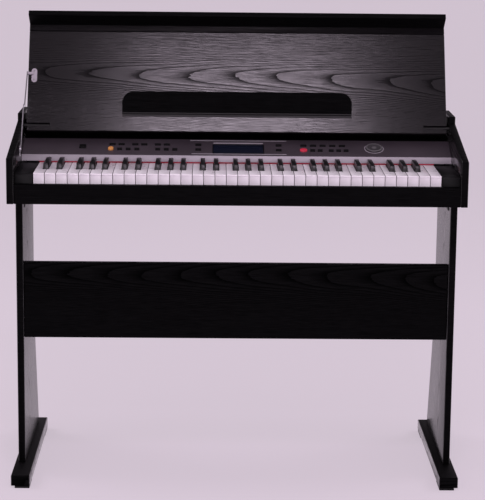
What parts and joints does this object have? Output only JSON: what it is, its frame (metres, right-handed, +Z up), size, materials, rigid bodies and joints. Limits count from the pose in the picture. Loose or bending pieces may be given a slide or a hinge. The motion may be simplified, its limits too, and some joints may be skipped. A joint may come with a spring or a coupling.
{
  "type": "digital piano",
  "caption": "Black digital piano on a board stand, with a fold-back lid, a music flap, a sloped control panel and sprung keys.",
  "frame": {"origin": "on the floor, under the middle of the width and of the feet's length", "axes": "+X to the player's right, +Y away from the player, +Z up"},
  "size_m": [0.953, 0.445, 0.9868],
  "materials": {
    "black_ash": "black wood-grain laminate on board, satin",
    "black_plastic": "black moulded plastic, fine satin",
    "silver_plastic": "silver paint, satin",
    "felt": "red felt",
    "white_key": "off-white key plastic, semi-gloss",
    "black_key": "black key plastic, satin gloss",
    "steel": "plated steel, satin",
    "speaker": "grey speaker frame",
    "button_rubber": "dark grey silicone rubber",
    "red_plastic": "red plastic",
    "orange_plastic": "amber plastic",
    "circuit_board": "green circuit board",
    "display": "dark blue clear plastic over a blank display"
  },
  "bodies": {
    "case": {"left_side_panel": "black_ash", "right_side_panel": "black_ash", "keybed_board": "black_ash", "back_panel": "black_ash", "rear_top_board": "black_ash", "key_slip": "black_ash", "left_leg": "black_ash", "right_leg": "black_ash", "left_foot": "black_ash", "right_foot": "black_ash", "modesty_panel": "black_ash", "left_front_glide": "black_plastic", "left_rear_glide": "black_plastic", "right_front_glide": "black_plastic", "right_rear_glide": "black_plastic", "control_panel": "black_plastic", "silver_fascia": "silver_plastic", "felt_strip": "felt", "left_cheek_block": "black_plastic", "right_cheek_block": "black_plastic", "display_window": "display", "key_chassis": "black_plastic", "main_circuit_board": "circuit_board", "left_speaker": "speaker", "right_speaker": "speaker", "jack_plate": "black_plastic", "stay_bracket": "steel", "left_button_pad": "button_rubber", "display_left_pad": "button_rubber", "display_right_pad": "button_rubber", "right_button_pad": "button_rubber", "white_keys_low": "white_key", "black_keys_low": "black_key", "white_keys_high": "white_key", "black_keys_high": "black_key"},
    "lid": {"lid_panel": "black_ash", "lid_lip": "black_ash", "left_pivot_pin": "steel", "right_pivot_pin": "steel", "stay_plate": "silver_plastic", "flap_hinge": "steel"},
    "music_flap": {"music_flap": "black_ash"},
    "lower_stay": {"lower_stay_link": "steel"},
    "upper_stay": {"upper_stay_link": "steel"},
    "data_dial": {"data_dial": "silver_plastic"},
    "power_button": {"power_button": "black_plastic"},
    "orange_button": {"orange_button": "orange_plastic"},
    "red_button": {"red_button": "red_plastic"},
    "key_c": {"key_c": "white_key"},
    "key_c_sharp": {"key_c_sharp": "black_key"},
    "key_d": {"key_d": "white_key"},
    "key_d_sharp": {"key_d_sharp": "black_key"},
    "key_e": {"key_e": "white_key"},
    "key_f": {"key_f": "white_key"},
    "key_f_sharp": {"key_f_sharp": "black_key"},
    "key_g": {"key_g": "white_key"},
    "key_g_sharp": {"key_g_sharp": "black_key"},
    "key_a": {"key_a": "white_key"},
    "key_a_sharp": {"key_a_sharp": "black_key"},
    "key_b": {"key_b": "white_key"}
  },
  "joints": [
    {"name": "lid_hinge", "type": "hinge", "parent": "case", "child": "lid", "pos_m": [0, 0.01565, 0.74379], "axis": [1, 0, 0], "range_deg": [0, 126.8]},
    {"name": "flap_hinge", "type": "hinge", "parent": "lid", "child": "music_flap", "pos_m": [0, 0.0176, 0.77289], "axis": [1, 0, 0], "range_deg": [-28, 0]},
    {"name": "lower_stay_pivot", "type": "hinge", "parent": "case", "child": "lower_stay", "pos_m": [-0.4605, -0.083, 0.7057], "axis": [1, 0, 0], "range_deg": [0, 136.44]},
    {"name": "stay_knuckle", "type": "hinge", "parent": "lower_stay", "child": "upper_stay", "pos_m": [-0.4585, -0.01544, 0.78906], "axis": [1, 0, 0], "range_deg": [-166.64, 0]},
    {"name": "dial_turn", "type": "hinge", "parent": "case", "child": "data_dial", "pos_m": [0.297, -0.01063, 0.7022], "axis": [0, -0.3387, 0.9409], "continuous": true},
    {"name": "power_button_press", "type": "slide", "parent": "case", "child": "power_button", "axis": [0, 0.3387, -0.9409], "range_m": [0, 0.0015], "stiffness_N_per_m": 300, "springref_m": -0.002},
    {"name": "orange_button_press", "type": "slide", "parent": "case", "child": "orange_button", "axis": [0, 0.3387, -0.9409], "range_m": [0, 0.0015], "stiffness_N_per_m": 300, "springref_m": -0.002},
    {"name": "red_button_press", "type": "slide", "parent": "case", "child": "red_button", "axis": [0, 0.3387, -0.9409], "range_m": [0, 0.0015], "stiffness_N_per_m": 300, "springref_m": -0.002},
    {"name": "key_c_press", "type": "hinge", "parent": "case", "child": "key_c", "pos_m": [0, 0.0135, 0.66125], "axis": [1, 0, 0], "range_deg": [0, 2.6], "stiffness_Nm_per_rad": 0.5, "springref_deg": -11.46},
    {"name": "key_c_sharp_press", "type": "hinge", "parent": "case", "child": "key_c_sharp", "pos_m": [0, 0.0135, 0.66125], "axis": [1, 0, 0], "range_deg": [0, 2.6], "stiffness_Nm_per_rad": 0.5, "springref_deg": -11.46},
    {"name": "key_d_press", "type": "hinge", "parent": "case", "child": "key_d", "pos_m": [0, 0.0135, 0.66125], "axis": [1, 0, 0], "range_deg": [0, 2.6], "stiffness_Nm_per_rad": 0.5, "springref_deg": -11.46},
    {"name": "key_d_sharp_press", "type": "hinge", "parent": "case", "child": "key_d_sharp", "pos_m": [0, 0.0135, 0.66125], "axis": [1, 0, 0], "range_deg": [0, 2.6], "stiffness_Nm_per_rad": 0.5, "springref_deg": -11.46},
    {"name": "key_e_press", "type": "hinge", "parent": "case", "child": "key_e", "pos_m": [0, 0.0135, 0.66125], "axis": [1, 0, 0], "range_deg": [0, 2.6], "stiffness_Nm_per_rad": 0.5, "springref_deg": -11.46},
    {"name": "key_f_press", "type": "hinge", "parent": "case", "child": "key_f", "pos_m": [0, 0.0135, 0.66125], "axis": [1, 0, 0], "range_deg": [0, 2.6], "stiffness_Nm_per_rad": 0.5, "springref_deg": -11.46},
    {"name": "key_f_sharp_press", "type": "hinge", "parent": "case", "child": "key_f_sharp", "pos_m": [0, 0.0135, 0.66125], "axis": [1, 0, 0], "range_deg": [0, 2.6], "stiffness_Nm_per_rad": 0.5, "springref_deg": -11.46},
    {"name": "key_g_press", "type": "hinge", "parent": "case", "child": "key_g", "pos_m": [0, 0.0135, 0.66125], "axis": [1, 0, 0], "range_deg": [0, 2.6], "stiffness_Nm_per_rad": 0.5, "springref_deg": -11.46},
    {"name": "key_g_sharp_press", "type": "hinge", "parent": "case", "child": "key_g_sharp", "pos_m": [0, 0.0135, 0.66125], "axis": [1, 0, 0], "range_deg": [0, 2.6], "stiffness_Nm_per_rad": 0.5, "springref_deg": -11.46},
    {"name": "key_a_press", "type": "hinge", "parent": "case", "child": "key_a", "pos_m": [0, 0.0135, 0.66125], "axis": [1, 0, 0], "range_deg": [0, 2.6], "stiffness_Nm_per_rad": 0.5, "springref_deg": -11.46},
    {"name": "key_a_sharp_press", "type": "hinge", "parent": "case", "child": "key_a_sharp", "pos_m": [0, 0.0135, 0.66125], "axis": [1, 0, 0], "range_deg": [0, 2.6], "stiffness_Nm_per_rad": 0.5, "springref_deg": -11.46},
    {"name": "key_b_press", "type": "hinge", "parent": "case", "child": "key_b", "pos_m": [0, 0.0135, 0.66125], "axis": [1, 0, 0], "range_deg": [0, 2.6], "stiffness_Nm_per_rad": 0.5, "springref_deg": -11.46}
  ],
  "couplings": [
    {"joint": "lower_stay_pivot", "follows": "lid_hinge", "ratio": 1.072},
    {"joint": "stay_knuckle", "follows": "lid_hinge", "ratio": -1.3102}
  ]
}
